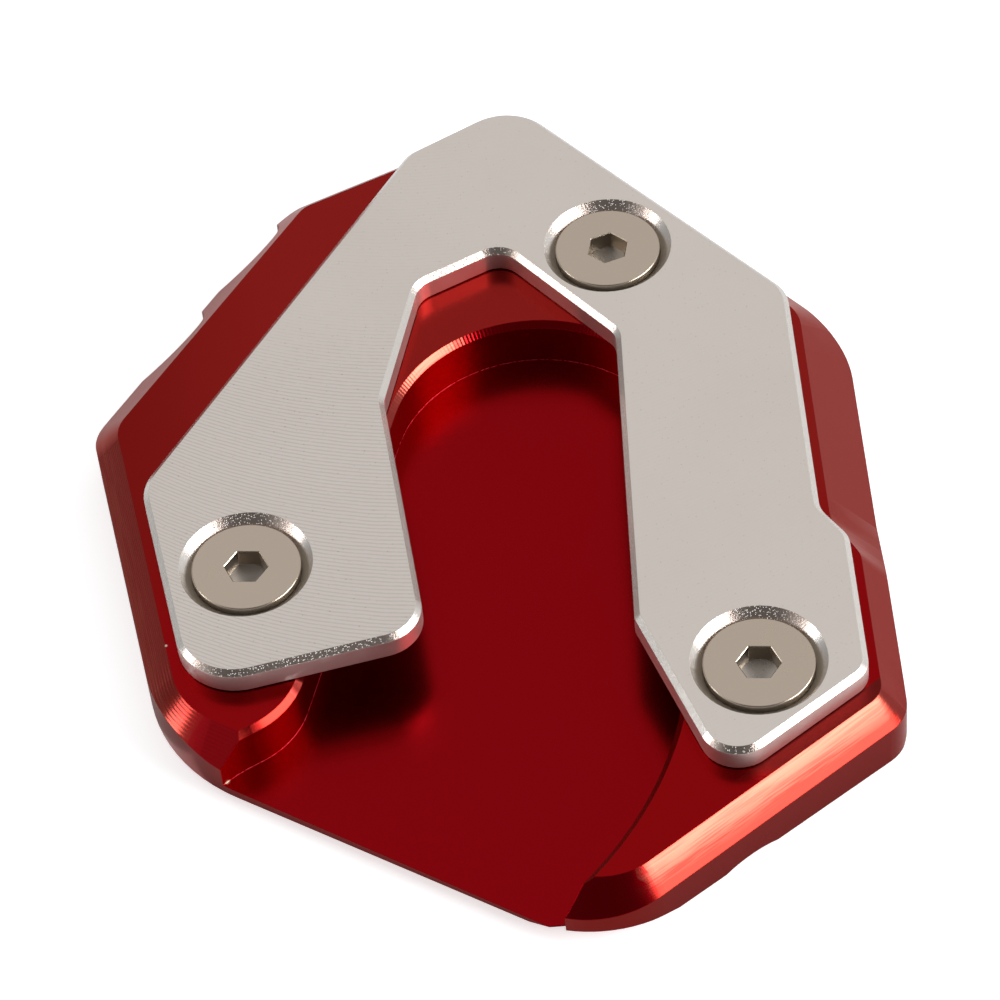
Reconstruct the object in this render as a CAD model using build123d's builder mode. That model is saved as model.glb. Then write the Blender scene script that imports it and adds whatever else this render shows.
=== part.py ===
from build123d import *
from math import cos, radians, sin, tan
import os

# Kickstand foot enlarger: a milled base pad, a clamp plate and three countersunk screws.
# The foot of the side stand sits in the pad's pocket, and its leg leaves through the slot
# of the clamp plate. +Z is up, the sole rests on z = 0, and the origin is below the middle.

# Thicknesses and depths
base_thickness = 8.0
clamp_thickness = 3.0
pocket_depth = 5.8

# Distance of each side's wall from the origin
far_right_distance = 43.5
right_distance = 41.5
near_right_distance = 52.35
open_distance = 43.55
left_distance = 39.35
far_left_distance = 43.0
far_distance = 49.7

# Sides of the pad: outward normal in degrees and distance
far_right_side = (39.5, far_right_distance)
right_side = (-0.7, right_distance)
near_right_side = (-55.4, near_right_distance)
open_side = (-124.4, open_distance)
left_side = (-171.8, left_distance)
far_left_side = (144.2, far_left_distance)
far_side = (112.4, far_distance)

# Bevel round the top of the pad, 45 degrees, by its width in plan
bevel = 2.6
open_bevel = 3.3
far_left_bevel = 3.5
relief = 2.6
relief_start_y = -9.9
relief_end_y = -15.2

# Corner radii of the wall and of the top face
wall_radii = (10.0, 10.0, 5.0, 10.5, 20.0, 6.0, 5.0)
crown_radii = (8.0, 5.0, 3.0, 3.0, 3.0, 7.5, 9.0, 4.0, 3.0)

# Finger scallops milled in the far left wall
scallop_pitch = 15.35
scallop_count = 2
scallop_first = 5.5
scallop_depth = 2.25
scallop_sharp_radius = 4.4
scallop_soft_radius = 15.5

# Pocket for the stand's foot
pocket_centre = (6.1, 6.8)
pocket_radius = 15.5
pocket_left_length = 37.65
pocket_right_lean = 4.5
pocket_right_length = 26.7
boss_radius = 10.0
boss_turn = 48.0
boss_flare_radius = 15.0
boss_flare_turn = 14.0
mouth_radius = 45.0
mouth_turn = 54.0
mouth_overrun = 9.0
pocket_chamfer = 0.65

# Clamp plate: margins from the pad's top face, then the corners of its slot
clamp_margin = 1.15
clamp_far_right_margin = 0.2
clamp_near_right_margin = 1.65
clamp_relief_shift = 0.6
clamp_far_left_side = (145.4, 31.1)
clamp_far_side = (117.1, 44.95)
clamp_radii = (6.0, 5.0, 3.0, 3.0, 3.0, 4.0)
right_arm_end_side = (-161.9, -6.5)
slot_right_side = (177.3, -15.3)
slot_far_right_side = (-142.1, -23.35)
slot_far_side = (-65.8, -27.0)
slot_far_left_side = (-16.4, -12.35)
slot_left_side = (4.3, -8.8)
slot_radii = (1.5, 2.5, 2.8, 3.0, 2.5)
left_arm_end_side = (-80.4, 20.2)
left_arm_radii = (4.6, 6.5, 5.5, 4.0)
clamp_chamfer = 0.6
clamp_lower_chamfer = 0.2

# M6 countersunk screws with hexagon socket, and their seats
screw_places = ((-25.5, -10.35), (16.5, 30.25), (26.3, -30.15))
socket_turns = (-8.0, 17.0, -8.0)
thread_diameter = 6.0
thread_clearance = 0.05
head_diameter = 11.6
head_edge = 0.12
head_angle = 90.0
head_below_top = 0.4
head_clearance = 0.03
countersink_mouth = 14.2
screw_length = 10.0
screw_end_chamfer = 0.6
socket_across_flats = 4.0
socket_depth = 2.1
socket_cone_depth = 0.9

# Sole: a lead-in that rises towards the mouth, a steeper nose, and shallow round grooves
leg_direction = -108.4
lead_in_start = 17.0
lead_in_angle = 2.8
nose_direction = -92.0
nose_start = 49.3
nose_angle = 24.2
groove_radius = 7.2
groove_depth = 0.55
groove_pitch = 20.0
groove_first = -42.0
groove_count = 5
groove_end = 12.0

base_top = base_thickness
clamp_top = base_top + clamp_thickness
floor_height = base_top - pocket_depth


# The same side, moved in towards the origin
def inset(side, width):
    angle, distance = side
    return (angle, distance - width)


# The corner where two sides meet
def meet(first, second):
    a, d = radians(first[0]), first[1]
    b, e = radians(second[0]), second[1]
    turn = sin(b - a)
    return ((d * sin(b) - e * sin(a)) / turn, (e * cos(a) - d * cos(b)) / turn)


# The point of a side at a given y
def at_height(side, y):
    a = radians(side[0])
    return ((side[1] - y * sin(a)) / cos(a), y)


# An upright plane through the origin, its x along a direction in plan and its y up
def upright(direction):
    a = radians(direction)
    return Plane((0, 0, 0), x_dir=(cos(a), sin(a), 0), z_dir=(sin(a), -cos(a), 0))


# Outline of the wall
wall_sides = (far_right_side, right_side, near_right_side, open_side,
              left_side, far_left_side, far_side)
wall_corners = [meet(wall_sides[i - 1], side) for i, side in enumerate(wall_sides)]

# Outline of the top face: the wall's sides moved in, with the deeper relief on the right
crown_far_right = inset(far_right_side, bevel)
crown_relief = inset(right_side, bevel + relief)
crown_right = inset(right_side, bevel)
crown_near_right = inset(near_right_side, bevel)
crown_open = inset(open_side, open_bevel)
crown_left = inset(left_side, bevel)
crown_far_left = inset(far_left_side, far_left_bevel)
crown_far = inset(far_side, bevel)
crown_corners = [
    meet(crown_far, crown_far_right),
    meet(crown_far_right, crown_relief),
    at_height(crown_relief, relief_start_y),
    at_height(crown_right, relief_end_y),
    meet(crown_right, crown_near_right),
    meet(crown_near_right, crown_open),
    meet(crown_open, crown_left),
    meet(crown_left, crown_far_left),
    meet(crown_far_left, crown_far),
]

# Outline of the clamp plate, round from its far corner
clamp_far_right = inset(crown_far_right, clamp_far_right_margin)
clamp_relief = inset(crown_relief, clamp_margin)
clamp_right = inset(crown_right, clamp_margin)
clamp_near_right = inset(crown_near_right, clamp_near_right_margin)
clamp_left = inset(crown_left, clamp_margin)
clamp_corners = [
    meet(clamp_far_side, clamp_far_right),
    meet(clamp_far_right, clamp_relief),
    at_height(clamp_relief, relief_start_y - clamp_relief_shift),
    at_height(clamp_right, relief_end_y + clamp_relief_shift),
    meet(clamp_right, clamp_near_right),
    meet(clamp_near_right, right_arm_end_side),
    meet(right_arm_end_side, slot_right_side),
    meet(slot_right_side, slot_far_right_side),
    meet(slot_far_right_side, slot_far_side),
    meet(slot_far_side, slot_far_left_side),
    meet(slot_far_left_side, slot_left_side),
    meet(slot_left_side, left_arm_end_side),
    meet(left_arm_end_side, clamp_left),
    meet(clamp_left, clamp_far_left_side),
    meet(clamp_far_left_side, clamp_far_side),
]

# The leg's line: the pocket's straight left wall runs along it
leg = Vector(cos(radians(leg_direction)), sin(radians(leg_direction)))
lead_in_slope = tan(radians(lead_in_angle))
nose_slope = tan(radians(nose_angle))
pad_span = near_right_distance + far_distance

# A scallop is two arcs that meet at its deepest point, steep on one side and long on the other
scallop_angle = far_left_side[0] - 90
scallop_run = Vector(cos(radians(scallop_angle)), sin(radians(scallop_angle)))
scallop_normal = Vector(cos(radians(far_left_side[0])), sin(radians(far_left_side[0])))

# Base plate: the top face spread downwards at 45 degrees, cut to the wall's outline
with BuildPart() as base_plate:
    with BuildSketch(Plane.XY.offset(base_top)):
        with BuildLine():
            FilletPolyline(*crown_corners, radius=list(crown_radii), close=True)
        make_face()
    extrude(amount=-base_thickness, taper=-45)
    with BuildSketch():
        with BuildLine():
            FilletPolyline(*wall_corners, radius=list(wall_radii), close=True)
        make_face()
    extrude(amount=base_thickness, mode=Mode.INTERSECT)

    # Scallops along the far left wall
    for number in range(scallop_count):
        along = scallop_run * (scallop_first + number * scallop_pitch)
        valley = along + scallop_normal * (far_left_side[1] - scallop_depth)
        scallop_plane = Plane((valley.X, valley.Y, 0), x_dir=(scallop_run.X, scallop_run.Y, 0))
        with BuildSketch(scallop_plane):
            with BuildLine():
                sharp = JernArc((0, 0), (1, 0), scallop_sharp_radius, 90)
                soft = JernArc((0, 0), (-1, 0), scallop_soft_radius, -60)
                lid_right = Line(sharp @ 1, ((sharp @ 1).X, (soft @ 1).Y))
                Line(lid_right @ 1, soft @ 1)
            make_face()
        extrude(amount=base_thickness, mode=Mode.SUBTRACT)

    # Pocket for the foot, open to the near left
    with BuildSketch(Plane.XY.offset(floor_height)) as pocket:
        with BuildLine():
            round_end = CenterArc(pocket_centre, pocket_radius, -pocket_right_lean,
                                  90 + pocket_right_lean + (leg_direction + 180))
            left_wall = Line(round_end @ 1, round_end @ 1 + leg * pocket_left_length)
            boss = JernArc(left_wall @ 1, leg, boss_radius, -boss_turn)
            flare = JernArc(boss @ 1, boss % 1, boss_flare_radius, boss_flare_turn)
            left_exit = Line(flare @ 1, flare @ 1 + (flare % 1) * mouth_overrun)
            right_wall = Line(round_end @ 0, round_end @ 0 - (round_end % 0) * pocket_right_length)
            mouth = JernArc(right_wall @ 1, (0, -1), mouth_radius, -mouth_turn)
            Line(left_exit @ 1, mouth @ 1)
        make_face()
    extrude(amount=pocket_depth, mode=Mode.SUBTRACT)
    with BuildSketch(Plane.XY.offset(base_top - pocket_chamfer)):
        add(pocket.sketch.face().moved(Location((0, 0, pocket_depth - pocket_chamfer))))
    extrude(amount=pocket_chamfer, taper=-45, mode=Mode.SUBTRACT)

    # Lead-in under the mouth of the pocket, and the nose under its near end
    for direction, start, slope in (
        (leg_direction, lead_in_start, lead_in_slope),
        (nose_direction, nose_start, nose_slope),
    ):
        with BuildSketch(upright(direction)):
            with BuildLine():
                Polyline(
                    (start, 0),
                    (pad_span, 0),
                    (pad_span, (pad_span - start) * slope),
                    close=True,
                )
            make_face()
        extrude(amount=pad_span, both=True, mode=Mode.SUBTRACT)

    # Grooves, cut in from the right as deep below the lead-in as below the flat sole
    for number in range(groove_count):
        place = groove_first + number * groove_pitch
        sole = max(0, place - lead_in_start) * lead_in_slope
        with BuildSketch(upright(leg_direction).offset(groove_end)):
            with Locations((place, sole + groove_depth - groove_radius)):
                Circle(groove_radius)
        extrude(amount=-pad_span, mode=Mode.SUBTRACT)

    # Tapped holes, opened at the top for the tips of the screws' cones
    with Locations([(x, y, base_top) for x, y in screw_places]):
        CounterSinkHole(
            radius=thread_diameter / 2 + thread_clearance,
            counter_sink_radius=countersink_mouth / 2 - clamp_thickness,
            counter_sink_angle=head_angle,
        )

base_plate.part.label = "base_plate"

# Clamp plate: one flat outline with its slot open to the near side
with BuildPart() as clamp_plate:
    with BuildSketch(Plane.XY.offset(base_top)):
        with BuildLine():
            FilletPolyline(
                *clamp_corners,
                radius=[*clamp_radii, *slot_radii, *left_arm_radii],
                close=True,
            )
        make_face()
    extrude(amount=clamp_thickness)
    chamfer(clamp_plate.faces().sort_by(Axis.Z)[-1].edges(), length=clamp_chamfer)
    chamfer(clamp_plate.faces().sort_by(Axis.Z)[0].edges(), length=clamp_lower_chamfer)
    with Locations([(x, y, clamp_top) for x, y in screw_places]):
        CounterSinkHole(
            radius=thread_diameter / 2 + thread_clearance,
            counter_sink_radius=countersink_mouth / 2,
            counter_sink_angle=head_angle,
        )

clamp_plate.part.label = "clamp_plate"

# Screws: the cone of each head lies in the countersink, and its socket has a drilled floor
head_top = clamp_top - head_below_top
head_radius = head_diameter / 2
thread_radius = thread_diameter / 2
rim_bottom = clamp_top - (countersink_mouth / 2 - head_radius) + head_clearance
cone_bottom = rim_bottom - (head_radius - thread_radius)
screw_end = head_top - screw_length
socket_floor = head_top - socket_depth
socket_corner = socket_across_flats / 2 / cos(radians(30))

with BuildPart() as clamp_screws:
    for (x, y), turn in zip(screw_places, socket_turns):
        screw_axis = Axis((x, y, 0), (0, 0, 1))
        with BuildSketch(Plane((x, y, 0), x_dir=(1, 0, 0), z_dir=(0, -1, 0))):
            with BuildLine():
                Polyline(
                    (0, head_top),
                    (head_radius - head_edge, head_top),
                    (head_radius, head_top - head_edge),
                    (head_radius, rim_bottom),
                    (thread_radius, cone_bottom),
                    (thread_radius, screw_end + screw_end_chamfer),
                    (thread_radius - screw_end_chamfer, screw_end),
                    (0, screw_end),
                    close=True,
                )
            make_face()
        revolve(axis=screw_axis)
        with BuildSketch(Plane.XY.offset(socket_floor)):
            with Locations((x, y)):
                RegularPolygon(socket_corner, 6, rotation=turn)
        extrude(amount=socket_depth, mode=Mode.SUBTRACT)
        with BuildSketch(Plane((x, y, 0), x_dir=(1, 0, 0), z_dir=(0, -1, 0))):
            with BuildLine():
                Polyline(
                    (0, socket_floor),
                    (socket_across_flats / 2, socket_floor),
                    (0, socket_floor - socket_cone_depth),
                    close=True,
                )
            make_face()
        revolve(axis=screw_axis, mode=Mode.SUBTRACT)

clamp_screws.part.label = "clamp_screws"

os.makedirs("parts", exist_ok=True)
export_step(base_plate.part, "parts/base_plate.step")
export_step(clamp_plate.part, "parts/clamp_plate.step")
export_step(clamp_screws.part, "parts/clamp_screws.step")
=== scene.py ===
from math import cos, pi, radians, sin

import bmesh
import bpy
from mathutils import Matrix, Vector


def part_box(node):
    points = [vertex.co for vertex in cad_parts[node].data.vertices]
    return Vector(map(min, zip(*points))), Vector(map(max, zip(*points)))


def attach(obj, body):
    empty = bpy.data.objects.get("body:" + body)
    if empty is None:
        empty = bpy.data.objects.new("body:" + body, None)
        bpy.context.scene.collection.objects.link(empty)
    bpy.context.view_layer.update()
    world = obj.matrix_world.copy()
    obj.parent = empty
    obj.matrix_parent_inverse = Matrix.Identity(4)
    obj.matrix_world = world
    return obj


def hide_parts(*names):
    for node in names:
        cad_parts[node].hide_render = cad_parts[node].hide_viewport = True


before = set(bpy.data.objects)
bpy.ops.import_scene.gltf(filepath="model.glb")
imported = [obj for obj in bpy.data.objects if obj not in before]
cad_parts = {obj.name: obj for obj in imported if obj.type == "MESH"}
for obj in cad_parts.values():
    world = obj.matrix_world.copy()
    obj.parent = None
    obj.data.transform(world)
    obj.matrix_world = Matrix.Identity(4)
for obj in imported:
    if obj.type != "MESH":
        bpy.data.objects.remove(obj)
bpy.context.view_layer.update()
print("frame loaded:", sorted(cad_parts))

mm = 0.001
scene = bpy.context.scene
scene.view_settings.view_transform = "Standard"


# Camera: same place, tilt and lens as in the photograph
camera = {
    "aim": (1.73, -5.21, 11.0),
    "distance": 464.8,
    "elevation": 49.31,
    "roll": -5.95,
    "lens": 158.4,
    "sensor": 36.0,
    "nearest": 0.01,
}


def makeCamera(c):
    tilt = radians(c["elevation"])
    roll = radians(c["roll"])
    back = Vector((0, -cos(tilt), sin(tilt)))
    side = Vector((1, 0, 0))
    up = back.cross(side)
    right = side * cos(roll) + up * sin(roll)
    top = up * cos(roll) - side * sin(roll)
    data = bpy.data.cameras.new("camera")
    data.lens = c["lens"]
    data.sensor_width = c["sensor"]
    data.clip_start = c["nearest"]
    obj = bpy.data.objects.new("camera", data)
    turn = Matrix((right, top, back)).transposed().to_4x4()
    place = (Vector(c["aim"]) + back * c["distance"]) * mm
    obj.matrix_world = Matrix.Translation(place) @ turn
    scene.collection.objects.link(obj)
    scene.camera = obj


makeCamera(camera)
print("camera set")


# Small helpers for node trees: all but put return the socket that carries the result
def put(t, value, socket):
    if hasattr(value, "is_linked"):
        t.links.new(value, socket)
    else:
        socket.default_value = value


def calc(t, operation, a, b=None, c=None):
    n = t.nodes.new("ShaderNodeMath")
    n.operation = operation
    for i, value in enumerate((a, b, c)):
        if value is not None:
            put(t, value, n.inputs[i])
    return n.outputs[0]


def both(t, *masks):
    total = masks[0]
    for mask in masks[1:]:
        total = calc(t, "MULTIPLY", total, mask)
    return total


def either(t, *masks):
    total = masks[0]
    for mask in masks[1:]:
        total = calc(t, "MAXIMUM", total, mask)
    return total


def without(t, mask):
    return calc(t, "SUBTRACT", 1.0, mask)


def above(t, value, limit):
    return calc(t, "GREATER_THAN", value, limit)


def below(t, value, limit):
    return calc(t, "LESS_THAN", value, limit)


def ramp(t, value, lowIn, highIn, lowOut=0.0, highOut=1.0):
    n = t.nodes.new("ShaderNodeMapRange")
    n.interpolation_type = "SMOOTHSTEP"
    put(t, value, n.inputs["Value"])
    limits = {"From Min": lowIn, "From Max": highIn, "To Min": lowOut, "To Max": highOut}
    for label, limit in limits.items():
        n.inputs[label].default_value = limit
    return n.outputs["Result"]


def along(t, vector, direction):
    n = t.nodes.new("ShaderNodeVectorMath")
    n.operation = "DOT_PRODUCT"
    put(t, vector, n.inputs[0])
    n.inputs[1].default_value = Vector(direction).normalized()
    return n.outputs["Value"]


def distanceTo(t, vector, place):
    n = t.nodes.new("ShaderNodeVectorMath")
    n.operation = "DISTANCE"
    put(t, vector, n.inputs[0])
    n.inputs[1].default_value = place
    return n.outputs["Value"]


def noise(t, vector, scale, detail=2.0, roughness=0.5):
    n = t.nodes.new("ShaderNodeTexNoise")
    sets = {"Vector": vector, "Scale": scale, "Detail": detail, "Roughness": roughness}
    for label, value in sets.items():
        put(t, value, n.inputs[label])
    return n.outputs["Fac"]


def stretch(t, vector, turn, scale):
    n = t.nodes.new("ShaderNodeMapping")
    put(t, vector, n.inputs["Vector"])
    n.inputs["Rotation"].default_value = (0, 0, radians(turn))
    n.inputs["Scale"].default_value = scale
    return n.outputs["Vector"]


# The Mix node has sockets for each kind of data: first input, second input and output
mixSockets = {"RGBA": (6, 7, 2), "FLOAT": (2, 3, 0)}


def mixKind(t, kind, share, first, second):
    firstSocket, secondSocket, result = mixSockets[kind]
    n = t.nodes.new("ShaderNodeMix")
    n.data_type = kind
    put(t, share, n.inputs[0])
    put(t, first, n.inputs[firstSocket])
    put(t, second, n.inputs[secondSocket])
    return n.outputs[result]


def mix(t, share, first, second):
    return mixKind(t, "RGBA", share, first, second)


def blend(t, share, first, second):
    return mixKind(t, "FLOAT", share, first, second)


def bumpBy(t, height, distance, normal):
    n = t.nodes.new("ShaderNodeBump")
    n.inputs["Strength"].default_value = 1.0
    n.inputs["Distance"].default_value = distance
    t.links.new(height, n.inputs["Height"])
    t.links.new(normal, n.inputs["Normal"])
    return n.outputs[0]


def addUp(t, *values):
    total = values[0]
    for value in values[1:]:
        total = calc(t, "ADD", total, value)
    return total


# Light: a pale room, darker behind the camera and low on the left, and two soft boxes
light = {
    "roomLevel": 1.0,
    "frontLevel": 0.20,
    "frontDirection": (0.0, -0.80, 0.60),
    "frontEdge": (0.45, 0.85),
    "leftLevel": 0.50,
    "leftDirection": (-0.84, 0.53, 0.05),
    "leftEdge": (0.75, 0.95),
    "rightBox": {
        "direction": (0.834, -0.284, 0.50),
        "distance": 0.9,
        "size": (0.70, 0.40),
        "power": 8.9,
    },
    "leftBox": {
        "direction": (-0.92, 0.02, 0.36),
        "distance": 0.9,
        "size": (0.22, 0.30),
        "power": 1.4,
    },
}


def makeLight(l):
    world = bpy.data.worlds.new("paleRoom")
    scene.world = world
    world.use_nodes = True
    t = world.node_tree
    t.nodes.clear()
    coords = t.nodes.new("ShaderNodeTexCoord").outputs["Generated"]
    front = ramp(t, along(t, coords, l["frontDirection"]), *l["frontEdge"],
                 l["roomLevel"], l["frontLevel"])
    left = ramp(t, along(t, coords, l["leftDirection"]), *l["leftEdge"], 1.0, l["leftLevel"])
    path = t.nodes.new("ShaderNodeLightPath")
    seen = calc(t, "MAXIMUM", calc(t, "MULTIPLY", front, left), path.outputs["Is Camera Ray"])
    back = t.nodes.new("ShaderNodeBackground")
    t.links.new(seen, back.inputs["Strength"])
    out = t.nodes.new("ShaderNodeOutputWorld")
    t.links.new(back.outputs[0], out.inputs[0])
    for name in ("rightBox", "leftBox"):
        b = l[name]
        data = bpy.data.lights.new(name, "AREA")
        data.shape = "RECTANGLE"
        data.size, data.size_y = b["size"]
        data.energy = b["power"]
        obj = bpy.data.objects.new(name, data)
        toLight = Vector(b["direction"]).normalized()
        obj.location = toLight * b["distance"]
        obj.rotation_euler = toLight.to_track_quat("Z", "Y").to_euler()
        scene.collection.objects.link(obj)


makeLight(light)
print("light set")


# Floor: pale, white where it is lit, darker in the object's shadow, and clear from below
floor = {
    "size": 4.0,
    "colour": (0.80, 0.80, 0.80, 1),
    "roughness": 0.9,
    "gloss": 0.1,
    "lift": 0.60,
    "drop": 0.02,
    # the pad's sides: outward direction in degrees and distance
    "padSides": ((39.5, 43.5), (-0.7, 41.5), (-55.4, 52.35), (-124.4, 43.55),
                 (-171.8, 39.35), (144.2, 43.0), (112.4, 49.7)),
}


def makeFloor(f):
    mesh = bpy.data.meshes.new("floor")
    h = f["size"] / 2
    z = -f["drop"] * mm
    mesh.from_pydata([(-h, -h, z), (h, -h, z), (h, h, z), (-h, h, z)], [], [(0, 1, 2, 3)])
    obj = bpy.data.objects.new("floor", mesh)
    scene.collection.objects.link(obj)
    mat = bpy.data.materials.new("paleFloor")
    mat.use_nodes = True
    t = mat.node_tree
    shader = t.nodes["Principled BSDF"]
    shader.inputs["Base Color"].default_value = f["colour"]
    shader.inputs["Roughness"].default_value = f["roughness"]
    shader.inputs["Specular IOR Level"].default_value = f["gloss"]
    path = t.nodes.new("ShaderNodeLightPath")
    lift = calc(t, "MULTIPLY", path.outputs["Is Camera Ray"], f["lift"])
    shader.inputs["Emission Color"].default_value = (1, 1, 1, 1)
    t.links.new(lift, shader.inputs["Emission Strength"])

    # the floor is clear from below, and inside the pad's outline it lets light up to the sole
    fromBelow = t.nodes.new("ShaderNodeNewGeometry").outputs["Backfacing"]
    point = t.nodes.new("ShaderNodeTexCoord").outputs["Object"]
    sides = [below(t, along(t, point, (cos(radians(angle)), sin(radians(angle)), 0)), reach * mm)
             for angle, reach in f["padSides"]]
    underPad = both(t, *sides, without(t, path.outputs["Is Camera Ray"]))
    t.links.new(without(t, either(t, fromBelow, underPad)), shader.inputs["Alpha"])
    mesh.materials.append(mat)


makeFloor(floor)
print("floor set")


# Shader node groups
groupGrain = {"depthPatches": 2.6, "smudgeDetail": 6.0, "smudgeRoughness": 0.6}


def newGroup(name, inputs, output):
    group = bpy.data.node_groups.new(name, "ShaderNodeTree")
    for label, kind, value in inputs:
        socket = group.interface.new_socket(name=label, in_out="INPUT", socket_type=kind)
        if value is not None:
            socket.default_value = value
    group.interface.new_socket(name=output, in_out="OUTPUT", socket_type="NodeSocketFloat")
    given = group.nodes.new("NodeGroupInput").outputs
    result = group.nodes.new("NodeGroupOutput").inputs
    return group, given, result


def useGroup(t, group, **sets):
    n = t.nodes.new("ShaderNodeGroup")
    n.node_tree = group
    for label, value in sets.items():
        put(t, value, n.inputs[label])
    return n.outputs[0]


# Ridges that a cutter leaves, side by side at a pitch, with some wander and uneven depth
def makeCutterLines():
    t, inp, out = newGroup("cutterLines", (
        ("Point", "NodeSocketVector", None), ("Across", "NodeSocketFloat", 0.0),
        ("Pitch", "NodeSocketFloat", 0.001), ("Wander", "NodeSocketFloat", 0.3),
        ("Patch", "NodeSocketFloat", 400.0)), "Height")
    drift = calc(t, "SUBTRACT", noise(t, inp["Point"], inp["Patch"]), 0.5)
    drift = calc(t, "MULTIPLY", drift, inp["Wander"])
    turns = calc(t, "ADD", calc(t, "DIVIDE", inp["Across"], inp["Pitch"]), drift)
    wave = calc(t, "SINE", calc(t, "MULTIPLY", turns, 2 * pi))
    patches = calc(t, "MULTIPLY", inp["Patch"], groupGrain["depthPatches"])
    depth = noise(t, inp["Point"], patches)
    t.links.new(calc(t, "MULTIPLY", wave, depth), out["Height"])
    return t


# Small separate points, such as pits, burrs and dust
def makeSpecks():
    t, inp, out = newGroup("specks", (
        ("Point", "NodeSocketVector", None), ("Density", "NodeSocketFloat", 900.0),
        ("Size", "NodeSocketFloat", 0.12), ("Share", "NodeSocketFloat", 0.3)), "Mask")
    cell = t.nodes.new("ShaderNodeTexVoronoi")
    t.links.new(inp["Point"], cell.inputs["Vector"])
    t.links.new(inp["Density"], cell.inputs["Scale"])
    near = calc(t, "LESS_THAN", cell.outputs["Distance"], inp["Size"])
    pick = t.nodes.new("ShaderNodeSeparateColor")
    t.links.new(cell.outputs["Color"], pick.inputs[0])
    some = calc(t, "LESS_THAN", pick.outputs[0], inp["Share"])
    t.links.new(calc(t, "MULTIPLY", near, some), out["Mask"])
    return t


# Large soft patches where hands and tools have been
def makeSmudges():
    t, inp, out = newGroup("smudges", (
        ("Point", "NodeSocketVector", None), ("Size", "NodeSocketFloat", 60.0),
        ("Start", "NodeSocketFloat", 0.45), ("End", "NodeSocketFloat", 0.7)), "Mask")
    band = t.nodes.new("ShaderNodeMapRange")
    cloud = noise(t, inp["Point"], inp["Size"], groupGrain["smudgeDetail"],
                  groupGrain["smudgeRoughness"])
    t.links.new(cloud, band.inputs["Value"])
    t.links.new(inp["Start"], band.inputs["From Min"])
    t.links.new(inp["End"], band.inputs["From Max"])
    t.links.new(band.outputs["Result"], out["Mask"])
    return t


cutterLines = makeCutterLines()
specks = makeSpecks()
smudges = makeSmudges()

edgeSamples = 4


# A metal with softened edges, and the sockets that its masks are made from
def newMetal(name, edgeRadius):
    mat = bpy.data.materials.new(name)
    mat.use_nodes = True
    t = mat.node_tree
    shader = t.nodes["Principled BSDF"]
    shader.inputs["Metallic"].default_value = 1.0
    point = t.nodes.new("ShaderNodeTexCoord").outputs["Object"]
    xyz = t.nodes.new("ShaderNodeSeparateXYZ")
    t.links.new(point, xyz.inputs[0])
    trueNormal = t.nodes.new("ShaderNodeNewGeometry").outputs["True Normal"]
    facing = t.nodes.new("ShaderNodeSeparateXYZ")
    t.links.new(trueNormal, facing.inputs[0])
    soft = t.nodes.new("ShaderNodeBevel")
    soft.samples = edgeSamples
    soft.inputs["Radius"].default_value = edgeRadius
    return mat, t, shader, point, xyz.outputs, trueNormal, facing.outputs, soft.outputs[0]


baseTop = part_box("base_plate")[1].z
pocketFloor = 2.2 * mm
levelAbove = 0.9  # a face is level where its normal's z is above this
uprightBelow = 0.3  # and upright where it is below this

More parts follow.
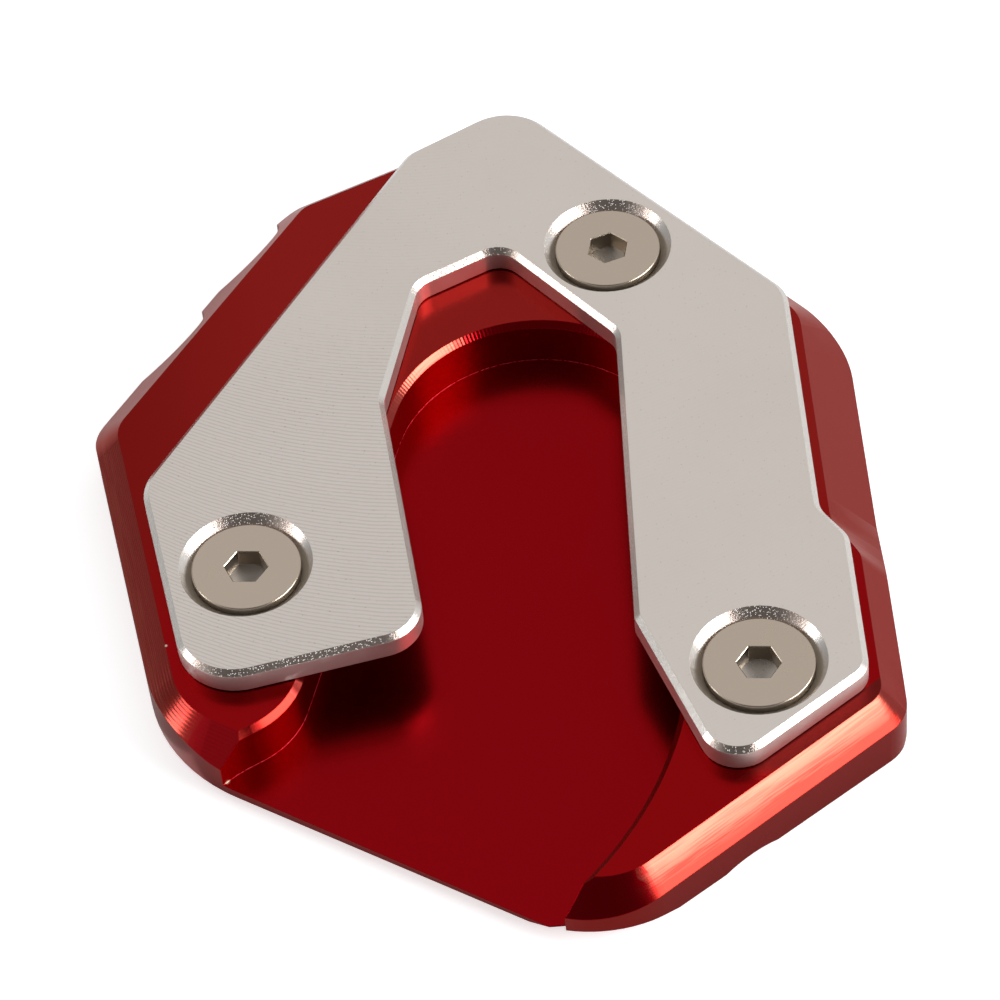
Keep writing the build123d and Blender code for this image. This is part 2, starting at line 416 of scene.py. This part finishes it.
# Red anodised base: colours for each kind of face, and the marks that the cutters left
redAnodised = {
    # top colours carry a painted sheen; the pocket's colour is left without it, as painted shade
    "topColour": (0.265, 0.0125, 0.0105, 1),
    "topColourLeft": (0.205, 0.0070, 0.0060, 1),
    "topColourNear": (0.270, 0.0030, 0.0045, 1),
    "topFade": (-42.0, -18.0),
    "nearFade": (-20.0, 2.0),
    "pocketColour": (0.255, 0.0022, 0.0048, 1),
    # walls inside the pocket: brighter red, painted light
    "pocketWallColour": (0.500, 0.0022, 0.0070, 1),
    # bevels: a painted highlight over its painted shade, mixed by height
    "bevelColour": (0.330, 0.0660, 0.0440, 1),
    "bevelDeepColour": (0.240, 0.0160, 0.0110, 1),
    "bevelFade": (5.6, 7.9),
    "leftShare": 0.38,
    "sideColour": (0.275, 0.0370, 0.0320, 1),
    "sideFacing": (0.58, 0.68),
    "stripColour": (0.130, 0.0095, 0.0085, 1),
    "stripFacing": (0.568, -0.823, 0.0),
    "stripStart": 48.0,
    "stripEnd": (-43.6, -41.2),
    "stripRoughness": 0.42,
    "footHighlightColour": (0.850, 0.1100, 0.1700, 1),
    "footReach": (0.06, 0.16),
    "footGrain": (3200.0, 2.0, 0.6),
    "footShare": (0.38, 0.55),
    "tint": (1.0, 0.76, 0.74, 1),
    # bevels facing the near end: saturated red, painted shade
    "frontBevelColour": (0.300, 0.0018, 0.0055, 1),
    "frontFacing": (-0.174, -0.985, 0.0),
    "frontShare": (0.53, 0.62),
    # outer walls: darker, painted shade
    "wallColour": (0.190, 0.0100, 0.0085, 1),
    "topRoughness": 0.21,
    "pocketRoughness": 0.25,
    "bevelRoughness": 0.17,
    "wallRoughness": 0.24,
    "smudge": {"Size": 55.0, "Start": 0.42, "End": 0.72},
    "smudgeRoughness": 0.04,
    "coat": 0.13,
    "coatRoughness": 0.15,
    "coatFade": (-0.15, -0.55),
    "floorTop": 3.0,
    "edgeRadius": 0.13,
    "middle": 2.0,
    "pocketEnd": 30.0,
    "tipStart": -50.0,
    "innerLeft": 0.12,
    "innerRight": -0.05,
    "innerFar": -0.2,
    "brushTurn": 18.0,
    "brushStretch": (1.0, 0.03, 1.0),
    "brushGrain": (5200.0, 3.0, 0.6),
    "brushDepth": 0.0016,
    "grainScale": 5200.0,
    "grainDepth": 0.0010,
    "streakStretch": (0.02, 0.02, 1.0),
    "streakScale": 7600.0,
    "streakEdge": (0.42, 0.60),
    "streakShare": 0.30,
    "stepPitch": 0.30,
    "stepDepth": 0.010,
    "stepLines": {"Wander": 0.5, "Patch": 60.0},
    "stepCorner": (-32.8, -26.5),
    "stepReach": (4.5, 8.0),
    "finePitch": 0.19,
    "fineDepth": 0.0008,
    "fineLines": {"Wander": 0.2, "Patch": 150.0},
    "pocketCentre": (6.1, 6.8),
    "pocketRadius": 15.5,
    "tickPitch": 0.42,
    "tickDepth": 0.009,
    "tickLines": {"Wander": 0.3, "Patch": 90.0},
    "burr": (-29.3, -31.9, 2.2),
    "burrReach": (0.22, 0.42),
    "dust": (-34.5, -17.8, 8.0),
    "dustReach": (0.10, 0.20),
    "dustColour": (0.62, 0.50, 0.42, 1),
}


def makeRed(r):
    (mat, t, shader, point, xyz,
     trueNormal, facing, normal) = newMetal("redAnodised", r["edgeRadius"] * mm)
    level = above(t, facing["Z"], levelAbove)
    low = below(t, xyz["Z"], r["floorTop"] * mm)
    pocket = both(t, level, low)
    wall = below(t, calc(t, "ABSOLUTE", facing["Z"]), uprightBelow)
    sole = below(t, facing["Z"], -levelAbove)
    bevel = calc(t, "SUBTRACT", without(t, either(t, level, sole)), wall)

    # faces that look into the pocket, left, right and at its far end
    onLeft = below(t, xyz["X"], r["middle"] * mm)
    inner = either(
        t,
        both(t, onLeft, above(t, facing["X"], r["innerLeft"])),
        both(t, without(t, onLeft), below(t, facing["X"], r["innerRight"]),
             above(t, xyz["Y"], r["tipStart"] * mm)),
        both(t, above(t, xyz["Y"], 0.0), below(t, facing["Y"], r["innerFar"])),
    )
    inner = both(t, inner, below(t, xyz["Y"], r["pocketEnd"] * mm))

    # top: a painted sheen makes it paler than the pocket's floor, which is left without it as
    # painted shade; less painted sheen, so deeper red, towards the left edge and the near end
    fromLeft = ramp(t, xyz["X"], r["topFade"][0] * mm, r["topFade"][1] * mm)
    fromNear = ramp(t, xyz["Y"], r["nearFade"][0] * mm, r["nearFade"][1] * mm)
    colour = mix(t, fromLeft, r["topColourLeft"], r["topColour"])
    colour = mix(t, fromNear, r["topColourNear"], colour)
    colour = mix(t, pocket, colour, r["pocketColour"])

    # bevels: a painted highlight along the upper edge on the right and along the lower edge on the
    # left, broken by streaks, and painted shade, deep red, on the pocket's chamfer at the near
    # side
    rise = ramp(t, xyz["Z"], r["bevelFade"][0] * mm, r["bevelFade"][1] * mm)
    toRight = above(t, facing["X"], 0.0)
    pale = blend(t, toRight, calc(t, "MULTIPLY", without(t, rise), r["leftShare"]), rise)
    streak = noise(t, stretch(t, point, 0.0, r["streakStretch"]), r["streakScale"])
    streak = ramp(t, streak, *r["streakEdge"])
    pale = calc(t, "SUBTRACT", pale, calc(t, "MULTIPLY", streak, r["streakShare"]))
    bevelColour = mix(t, calc(t, "MAXIMUM", pale, 0.0), r["bevelDeepColour"], r["bevelColour"])
    nearInner = both(t, inner, below(t, xyz["Y"], 0.0))
    bevelColour = mix(t, nearInner, bevelColour, r["bevelDeepColour"])
    # bevels facing right take a paler painted sheen; bevels facing the near end, and the pocket's
    # right side, a saturated painted shade
    bevelColour = mix(t, ramp(t, facing["X"], *r["sideFacing"]), bevelColour, r["sideColour"])
    toFront = ramp(t, along(t, trueNormal, r["frontFacing"]), *r["frontShare"])
    toFront = either(t, toFront, both(t, inner, without(t, onLeft)))
    bevelColour = mix(t, toFront, bevelColour, r["frontBevelColour"])
    colour = mix(t, bevel, colour, bevelColour)
    # walls: outer walls darker, painted shade from the darker floor in front; walls inside the
    # pocket brighter red, painted light
    colour = mix(t, wall, colour, mix(t, inner, r["wallColour"], r["pocketWallColour"]))

    # dull strip beside the plate's near right edge, and a painted highlight along the foot of the
    # pocket's wall, broken up by noise
    strip = both(t, level, above(t, along(t, point, r["stripFacing"]), r["stripStart"] * mm))
    strip = both(t, strip, ramp(t, xyz["Y"], r["stripEnd"][0] * mm, r["stripEnd"][1] * mm))
    colour = mix(t, strip, colour, r["stripColour"])
    rim = calc(t, "ABSOLUTE", calc(t, "SUBTRACT", xyz["Z"], pocketFloor))
    rim = ramp(t, rim, r["footReach"][0] * mm, r["footReach"][1] * mm, 1.0, 0.0)
    torn = ramp(t, noise(t, point, *r["footGrain"]), *r["footShare"])
    foot = both(t, wall, inner, rim, torn)
    colour = mix(t, foot, colour, r["footHighlightColour"])

    # a pale burr where the boss ends and a grain of dust on the left
    for name in ("burr", "dust"):
        place = tuple(v * mm for v in r[name])
        reach = r[name + "Reach"]
        spot = ramp(t, distanceTo(t, point, place), reach[0] * mm, reach[1] * mm, 1.0, 0.0)
        colour = mix(t, spot, colour, r["dustColour"])
    t.links.new(colour, shader.inputs["Base Color"])

    smudge = useGroup(t, smudges, Point=point, **r["smudge"])
    rough = blend(t, pocket, r["topRoughness"], r["pocketRoughness"])
    rough = blend(t, bevel, rough, r["bevelRoughness"])
    rough = blend(t, wall, rough, r["wallRoughness"])
    rough = blend(t, either(t, strip, foot), rough, r["stripRoughness"])
    rough = calc(t, "ADD", rough, calc(t, "MULTIPLY", smudge, r["smudgeRoughness"]))
    t.links.new(rough, shader.inputs["Roughness"])
    film = ramp(t, facing["X"], r["coatFade"][1], r["coatFade"][0], r["coat"], 0.0)
    t.links.new(both(t, film, without(t, inner)), shader.inputs["Coat Weight"])
    shader.inputs["Coat Roughness"].default_value = r["coatRoughness"]
    shader.inputs["Specular Tint"].default_value = r["tint"]

    # fine brushing along the leg's line on the pocket's floor, grain on the top
    brush = noise(t, stretch(t, point, r["brushTurn"], r["brushStretch"]), *r["brushGrain"])
    brush = calc(t, "MULTIPLY", both(t, brush, pocket), r["brushDepth"] * mm)
    grain = both(t, noise(t, point, r["grainScale"]), level)
    grain = calc(t, "MULTIPLY", grain, r["grainDepth"] * mm)

    # cutter steps at equal heights: coarse round the left corner, fine on all bevels and walls
    corner = (r["stepCorner"][0] * mm, r["stepCorner"][1] * mm, baseTop)
    reach = [v * mm for v in r["stepReach"]]
    near = ramp(t, distanceTo(t, point, corner), *reach, 1.0, 0.0)
    steps = useGroup(t, cutterLines, Point=point, Across=xyz["Z"],
                     Pitch=r["stepPitch"] * mm, **r["stepLines"])
    steps = calc(t, "MULTIPLY", both(t, steps, near, bevel), r["stepDepth"] * mm)
    fine = useGroup(t, cutterLines, Point=point, Across=xyz["Z"],
                    Pitch=r["finePitch"] * mm, **r["fineLines"])
    fine = calc(t, "MULTIPLY", both(t, fine, either(t, bevel, wall)), r["fineDepth"] * mm)

    # short ticks across the chamfer round the pocket
    fromCentre = [calc(t, "SUBTRACT", xyz[axis], v * mm)
                  for axis, v in zip("XY", r["pocketCentre"])]
    angle = calc(t, "ARCTAN2", fromCentre[1], fromCentre[0])
    onArc = calc(t, "MULTIPLY", angle, r["pocketRadius"] * mm)
    ticks = useGroup(t, cutterLines, Point=point, Across=onArc,
                     Pitch=r["tickPitch"] * mm, **r["tickLines"])
    ticks = calc(t, "MULTIPLY", both(t, ticks, bevel, inner), r["tickDepth"] * mm)
    height = addUp(t, brush, grain, steps, fine, ticks)
    t.links.new(bumpBy(t, height, 1.0, normal), shader.inputs["Normal"])
    return mat


# Milled clamp plate: face-milled top, chamfers with torn grain, painted shade and painted glints,
# duller walls
milledSilver = {
    "colour": (0.700, 0.640, 0.590, 1),
    "dullColour": (0.630, 0.575, 0.530, 1),
    "lineColour": (0.600, 0.550, 0.510, 1),
    "pitColour": (0.420, 0.370, 0.340, 1),
    "edgeColour": (0.720, 0.680, 0.640, 1),
    "edgeShadeColour": (0.520, 0.425, 0.375, 1),
    # walls: paler and pinker, a painted reflection of the red base
    "wallColour": (0.860, 0.710, 0.670, 1),
    "hazeColour": (0.900, 0.820, 0.790, 1),
    "roughness": 0.38,
    "edgeRoughness": 0.22,
    "wallRoughness": 0.43,
    "hazeRoughness": 0.15,
    "haze": {"Size": 420.0, "Start": 0.52, "End": 0.64},
    "hazePlace": (-27.0, -22.0, 9.5),
    "hazeReach": (5.0, 12.0),
    "hazeLeast": 0.1,
    "edgeRadius": 0.10,
    "sweepRadius": 59.2,
    "sweepMiddle": 0.6,
    "linePitch": 0.52,
    "lineDepth": 0.0050,
    "lines": {"Wander": 0.45, "Patch": 420.0},
    "lineFade": (-6.0, 16.0),
    "lineLeast": 0.22,
    "lineFar": (10.0, 26.0),
    "lineFarLeast": 0.30,
    "groove": (0.04, 0.42),
    "smudge": {"Size": 70.0, "Start": 0.40, "End": 0.75},
    "smudgeShare": 0.30,
    "smudgeRoughness": 0.05,
    "beadGrain": (3800.0, 2.0, 0.6),
    "beadDepth": 0.0050,
    "pits": {"Density": 1700.0, "Size": 0.14, "Share": 0.45},
    "pitInGroove": 0.6,
    "pitElsewhere": 0.3,
    # chamfers facing the near end: painted shade, with specks of painted glint
    "toFront": (-0.48, -0.20),
    "sparkGrain": (4300.0, 3.0, 0.7),
    "sparkDepth": 0.030,
    "sparkLeast": 0.40,
    "glintColour": (0.960, 0.930, 0.900, 1),
    "glints": {"Density": 6000.0, "Size": 0.34, "Share": 0.42},
    "glintRoughness": 0.75,
}


def makeSilver(s):
    (mat, t, shader, point, xyz,
     _, facing, normal) = newMetal("milledSilver", s["edgeRadius"] * mm)
    level = above(t, facing["Z"], levelAbove)
    wall = below(t, calc(t, "ABSOLUTE", facing["Z"]), uprightBelow)
    edge = calc(t, "SUBTRACT", without(t, level), wall)

    # face milling: one arc for each turn of the cutter, clear on the left arm and faint elsewhere
    aside = calc(t, "SUBTRACT", xyz["X"], s["sweepMiddle"] * mm)
    arc = calc(t, "SUBTRACT", (s["sweepRadius"] * mm) ** 2, calc(t, "MULTIPLY", aside, aside))
    sweep = calc(t, "ADD", xyz["Y"], calc(t, "SQRT", arc))
    lines = useGroup(t, cutterLines, Point=point, Across=sweep,
                     Pitch=s["linePitch"] * mm, **s["lines"])
    clear = ramp(t, xyz["X"], *[v * mm for v in s["lineFade"]], 1.0, s["lineLeast"])
    farFade = ramp(t, xyz["Y"], *[v * mm for v in s["lineFar"]], 1.0, s["lineFarLeast"])
    lines = both(t, lines, level, clear, farFade)

    # top: smudges, darker grooves, and pits that are stronger in the grooves
    smudge = useGroup(t, smudges, Point=point, **s["smudge"])
    groove = ramp(t, lines, *s["groove"])
    pits = useGroup(t, specks, Point=point, **s["pits"])
    inGroove = calc(t, "MULTIPLY", groove, s["pitInGroove"])
    pits = both(t, pits, level, addUp(t, inGroove, s["pitElsewhere"]))
    dull = calc(t, "MULTIPLY", smudge, s["smudgeShare"])
    colour = mix(t, dull, s["colour"], s["dullColour"])
    colour = mix(t, groove, colour, s["lineColour"])
    colour = mix(t, pits, colour, s["pitColour"])

    # chamfers: painted shade and torn grain where they face the near end, with painted glints
    toFront = ramp(t, facing["Y"], *s["toFront"], 1.0, 0.0)
    glint = useGroup(t, specks, Point=point, **s["glints"])
    glint = both(t, glint, edge, toFront)
    edgeColour = mix(t, toFront, s["edgeColour"], s["edgeShadeColour"])
    colour = mix(t, edge, colour, edgeColour)
    colour = mix(t, glint, colour, s["glintColour"])

    # walls: a pale haze, strongest near the left arm's end
    haze = useGroup(t, smudges, Point=point, **s["haze"])
    hazePlace = tuple(v * mm for v in s["hazePlace"])
    reach = [v * mm for v in s["hazeReach"]]
    near = ramp(t, distanceTo(t, point, hazePlace), *reach, 1.0, s["hazeLeast"])
    haze = both(t, haze, wall, near)
    # the walls' own colour, paler and pinker than the top's, is a painted reflection of the red
    # base
    wallColour = mix(t, haze, s["wallColour"], s["hazeColour"])
    colour = mix(t, wall, colour, wallColour)
    t.links.new(colour, shader.inputs["Base Color"])

    rough = blend(t, level, s["edgeRoughness"], s["roughness"])
    rough = blend(t, wall, rough, s["wallRoughness"])
    rough = addUp(t, rough, calc(t, "MULTIPLY", smudge, s["smudgeRoughness"]),
                  calc(t, "MULTIPLY", haze, s["hazeRoughness"]))
    rough = blend(t, glint, rough, s["glintRoughness"])
    t.links.new(rough, shader.inputs["Roughness"])

    # relief: beads and milling lines on the top, torn grain on the chamfers
    bead = both(t, noise(t, point, *s["beadGrain"]), level)
    bead = calc(t, "MULTIPLY", bead, s["beadDepth"] * mm)
    torn = calc(t, "MAXIMUM", toFront, s["sparkLeast"])
    spark = both(t, noise(t, point, *s["sparkGrain"]), edge, torn)
    spark = calc(t, "MULTIPLY", spark, s["sparkDepth"] * mm)
    lines = calc(t, "MULTIPLY", lines, s["lineDepth"] * mm)
    t.links.new(bumpBy(t, addUp(t, lines, bead, spark), 1.0, normal), shader.inputs["Normal"])
    return mat


# Screws: warm nickel finish, painted shade on the upright faces, painted light on the socket's
# floor, darker on the thread
screwNickel = {
    "colour": (0.510, 0.425, 0.345, 1),
    "uprightShadeColour": (0.330, 0.285, 0.235, 1),
    "socketFloorLitColour": (0.600, 0.540, 0.480, 1),
    "threadColour": (0.36, 0.33, 0.29, 1),
    "socketTop": 8.6,
    "socketFacing": 0.5,
    "threadTop": 6.9,
    "roughness": 0.22,
    "uprightRoughness": 0.30,
    "smudge": {"Size": 160.0, "Start": 0.40, "End": 0.75},
    "smudgeRoughness": 0.09,
    "edgeRadius": 0.06,
    "grainScale": 3000.0,
    "grainDepth": 0.0004,
}


def makeNickel(s):
    (mat, t, shader, point, xyz,
     _, facing, normal) = newMetal("screwNickel", s["edgeRadius"] * mm)
    smudge = useGroup(t, smudges, Point=point, **s["smudge"])
    upright = below(t, calc(t, "ABSOLUTE", facing["Z"]), uprightBelow)
    socket = both(t, below(t, xyz["Z"], s["socketTop"] * mm),
                  above(t, facing["Z"], s["socketFacing"]))
    onThread = below(t, xyz["Z"], s["threadTop"] * mm)
    # painted shade on upright faces such as the socket's walls, and painted light on the socket's
    # floor
    colour = mix(t, upright, s["colour"], s["uprightShadeColour"])
    colour = mix(t, socket, colour, s["socketFloorLitColour"])
    t.links.new(mix(t, onThread, colour, s["threadColour"]), shader.inputs["Base Color"])
    rough = blend(t, upright, s["roughness"], s["uprightRoughness"])
    rough = calc(t, "ADD", calc(t, "MULTIPLY", smudge, s["smudgeRoughness"]), rough)
    t.links.new(rough, shader.inputs["Roughness"])
    grain = calc(t, "MULTIPLY", noise(t, point, s["grainScale"]), s["grainDepth"] * mm)
    t.links.new(bumpBy(t, grain, 1.0, normal), shader.inputs["Normal"])
    return mat


redMaterial = makeRed(redAnodised)
silverMaterial = makeSilver(milledSilver)
nickelMaterial = makeNickel(screwNickel)


def dress(nodeName, material):
    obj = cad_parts[nodeName]
    for slot in obj.material_slots:
        slot.material = material
    if not obj.material_slots:
        obj.data.materials.append(material)


dress("base_plate", redMaterial)
dress("clamp_plate", silverMaterial)
print("materials set")


# Countersunk screws: one is turned up as a mesh, and a node tree sets it in the three seats
screw = {
    "places": ((-25.5, -10.35), (16.5, 30.25), (26.3, -30.15)),
    "turns": (-8.0, 17.0, -8.0),
    "headTop": 10.6,
    "headRadius": 5.8,
    "edgeRound": 0.20,
    "edgeSteps": 5,
    "rimDepth": 0.87,
    "coneDepth": 3.67,
    "threadRadius": 3.0,
    "threadDepth": 0.55,
    "threadPitch": 1.0,
    "threadSteps": 8,
    "threadRun": 3,
    "threadEnd": 0.2,
    "length": 10.0,
    "endChamfer": 0.6,
    "acrossFlats": 4.0,
    "mouthChamfer": 0.09,
    "socketDepth": 2.1,
    "socketCone": 0.9,
    "around": 96,
    "sharpAngle": 32.0,
}


# Radius of a hexagon with its corners at 0, 60 ... degrees, seen at an angle
def hexagonRadius(acrossFlats, angle):
    fromFlat = (angle % (pi / 3)) - pi / 6
    return acrossFlats / 2 / cos(fromFlat)


# The mesh has its origin in the middle of the head's top
def turnScrew(s):
    flats = s["acrossFlats"]
    rings = [
        lambda a: (flats / 2, -s["socketDepth"]),
        lambda a: (hexagonRadius(flats, a), -s["socketDepth"]),
        lambda a: (hexagonRadius(flats, a), -s["mouthChamfer"]),
        lambda a: (hexagonRadius(flats, a) + s["mouthChamfer"], 0.0),
        lambda a: ((hexagonRadius(flats, a) + s["headRadius"]) / 2, 0.0),
    ]
    for i in range(s["edgeSteps"] + 1):
        bend = pi / 2 * (1 - i / s["edgeSteps"])
        radius = s["headRadius"] - s["edgeRound"] * (1 - cos(bend))
        drop = s["edgeRound"] * (sin(bend) - 1)
        rings.append(lambda a, radius=radius, drop=drop: (radius, drop))
    rings.append(lambda a: (s["headRadius"], -s["rimDepth"]))
    rings.append(lambda a: (s["threadRadius"], -s["coneDepth"]))
    threadLength = s["length"] - s["endChamfer"] - s["coneDepth"]
    rows = int(threadLength / s["threadPitch"] * s["threadSteps"])
    for i in range(1, rows + 1):
        z = -s["coneDepth"] - threadLength * i / rows
        runIn = s["threadRun"] * i / rows
        runOut = s["threadRun"] * (rows - i) / rows + s["threadEnd"]
        fade = min(1.0, runIn, runOut)

        def threadAt(a, z=z, fade=fade):
            turns = (z / s["threadPitch"] + a / (2 * pi)) % 1.0
            return (s["threadRadius"] - s["threadDepth"] * fade * abs(2 * turns - 1), z)

        rings.append(threadAt)
    rings.append(lambda a: (s["threadRadius"] - s["endChamfer"], -s["length"]))

    bm = bmesh.new()
    count = s["around"]
    made = []
    for ring in rings:
        row = []
        for k in range(count):
            a = 2 * pi * k / count
            r, z = ring(a)
            row.append(bm.verts.new((r * cos(a) * mm, r * sin(a) * mm, z * mm)))
        made.append(row)
    socketTip = bm.verts.new((0, 0, -(s["socketDepth"] + s["socketCone"]) * mm))
    endTip = bm.verts.new((0, 0, -s["length"] * mm))
    for k in range(count):
        n = (k + 1) % count
        bm.faces.new((socketTip, made[0][k], made[0][n]))
        for upper, lower in zip(made, made[1:]):
            bm.faces.new((upper[k], lower[k], lower[n], upper[n]))
        bm.faces.new((endTip, made[-1][n], made[-1][k]))
    bmesh.ops.recalc_face_normals(bm, faces=bm.faces)
    for face in bm.faces:
        face.smooth = True
    for line in bm.edges:
        if len(line.link_faces) == 2 and line.calc_face_angle() > radians(s["sharpAngle"]):
            line.smooth = False
    mesh = bpy.data.meshes.new("screwBlank")
    bm.to_mesh(mesh)
    bm.free()
    obj = bpy.data.objects.new("screwBlank", mesh)
    scene.collection.objects.link(obj)
    return obj


# Node tree: lifts the seat points to the heads' height and sets a turned screw on each
def makeSeatTree():
    t = bpy.data.node_groups.new("screwsInSeats", "GeometryNodeTree")
    t.interface.new_socket(name="Seats", in_out="INPUT", socket_type="NodeSocketGeometry")
    for label, kind in (("Screw", "NodeSocketObject"), ("Head Top", "NodeSocketFloat"),
                        ("Size", "NodeSocketFloat"), ("Finish", "NodeSocketMaterial")):
        t.interface.new_socket(name=label, in_out="INPUT", socket_type=kind)
    t.interface.new_socket(name="Screws", in_out="OUTPUT", socket_type="NodeSocketGeometry")
    inp = t.nodes.new("NodeGroupInput").outputs
    lift = t.nodes.new("ShaderNodeCombineXYZ")
    t.links.new(inp["Head Top"], lift.inputs["Z"])
    move = t.nodes.new("GeometryNodeSetPosition")
    t.links.new(inp["Seats"], move.inputs["Geometry"])
    t.links.new(lift.outputs[0], move.inputs["Offset"])
    blank = t.nodes.new("GeometryNodeObjectInfo")
    t.links.new(inp["Screw"], blank.inputs["Object"])
    turn = t.nodes.new("GeometryNodeInputNamedAttribute")
    turn.data_type = "FLOAT"
    turn.inputs["Name"].default_value = "turn"
    spin = t.nodes.new("ShaderNodeCombineXYZ")
    t.links.new(turn.outputs["Attribute"], spin.inputs["Z"])
    place = t.nodes.new("GeometryNodeInstanceOnPoints")
    t.links.new(move.outputs["Geometry"], place.inputs["Points"])
    t.links.new(blank.outputs["Geometry"], place.inputs["Instance"])
    t.links.new(spin.outputs[0], place.inputs["Rotation"])
    t.links.new(inp["Size"], place.inputs["Scale"])
    real = t.nodes.new("GeometryNodeRealizeInstances")
    t.links.new(place.outputs["Instances"], real.inputs["Geometry"])
    finish = t.nodes.new("GeometryNodeSetMaterial")
    t.links.new(real.outputs["Geometry"], finish.inputs["Geometry"])
    t.links.new(inp["Finish"], finish.inputs["Material"])
    out = t.nodes.new("NodeGroupOutput")
    t.links.new(finish.outputs["Geometry"], out.inputs["Screws"])
    return t


def setScrews(s):
    blank = turnScrew(s)
    mesh = bpy.data.meshes.new("screwSeats")
    mesh.from_pydata([(x * mm, y * mm, 0) for x, y in s["places"]], [], [])
    turns = mesh.attributes.new("turn", "FLOAT", "POINT")
    for i, turn in enumerate(s["turns"]):
        turns.data[i].value = radians(turn)
    seats = bpy.data.objects.new("screwSeats", mesh)
    scene.collection.objects.link(seats)
    tree = makeSeatTree()
    modifier = seats.modifiers.new("screwsInSeats", "NODES")
    modifier.node_group = tree
    values = {"Screw": blank, "Head Top": s["headTop"] * mm, "Size": 1.0, "Finish": nickelMaterial}
    for item in tree.interface.items_tree:
        if item.in_out == "INPUT" and item.name in values:
            modifier[item.identifier] = values[item.name]
    ready = bpy.context.evaluated_depsgraph_get()
    made = bpy.data.meshes.new_from_object(seats.evaluated_get(ready))
    seats.modifiers.remove(modifier)
    for obj in (seats, blank):
        bpy.data.objects.remove(obj)
    made.name = "countersunkScrews"
    screws = bpy.data.objects.new("countersunkScrews", made)
    scene.collection.objects.link(screws)
    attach(screws, "root")
    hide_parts("clamp_screws")
    print("screws set:", len(made.polygons), "faces")


setScrews(screw)
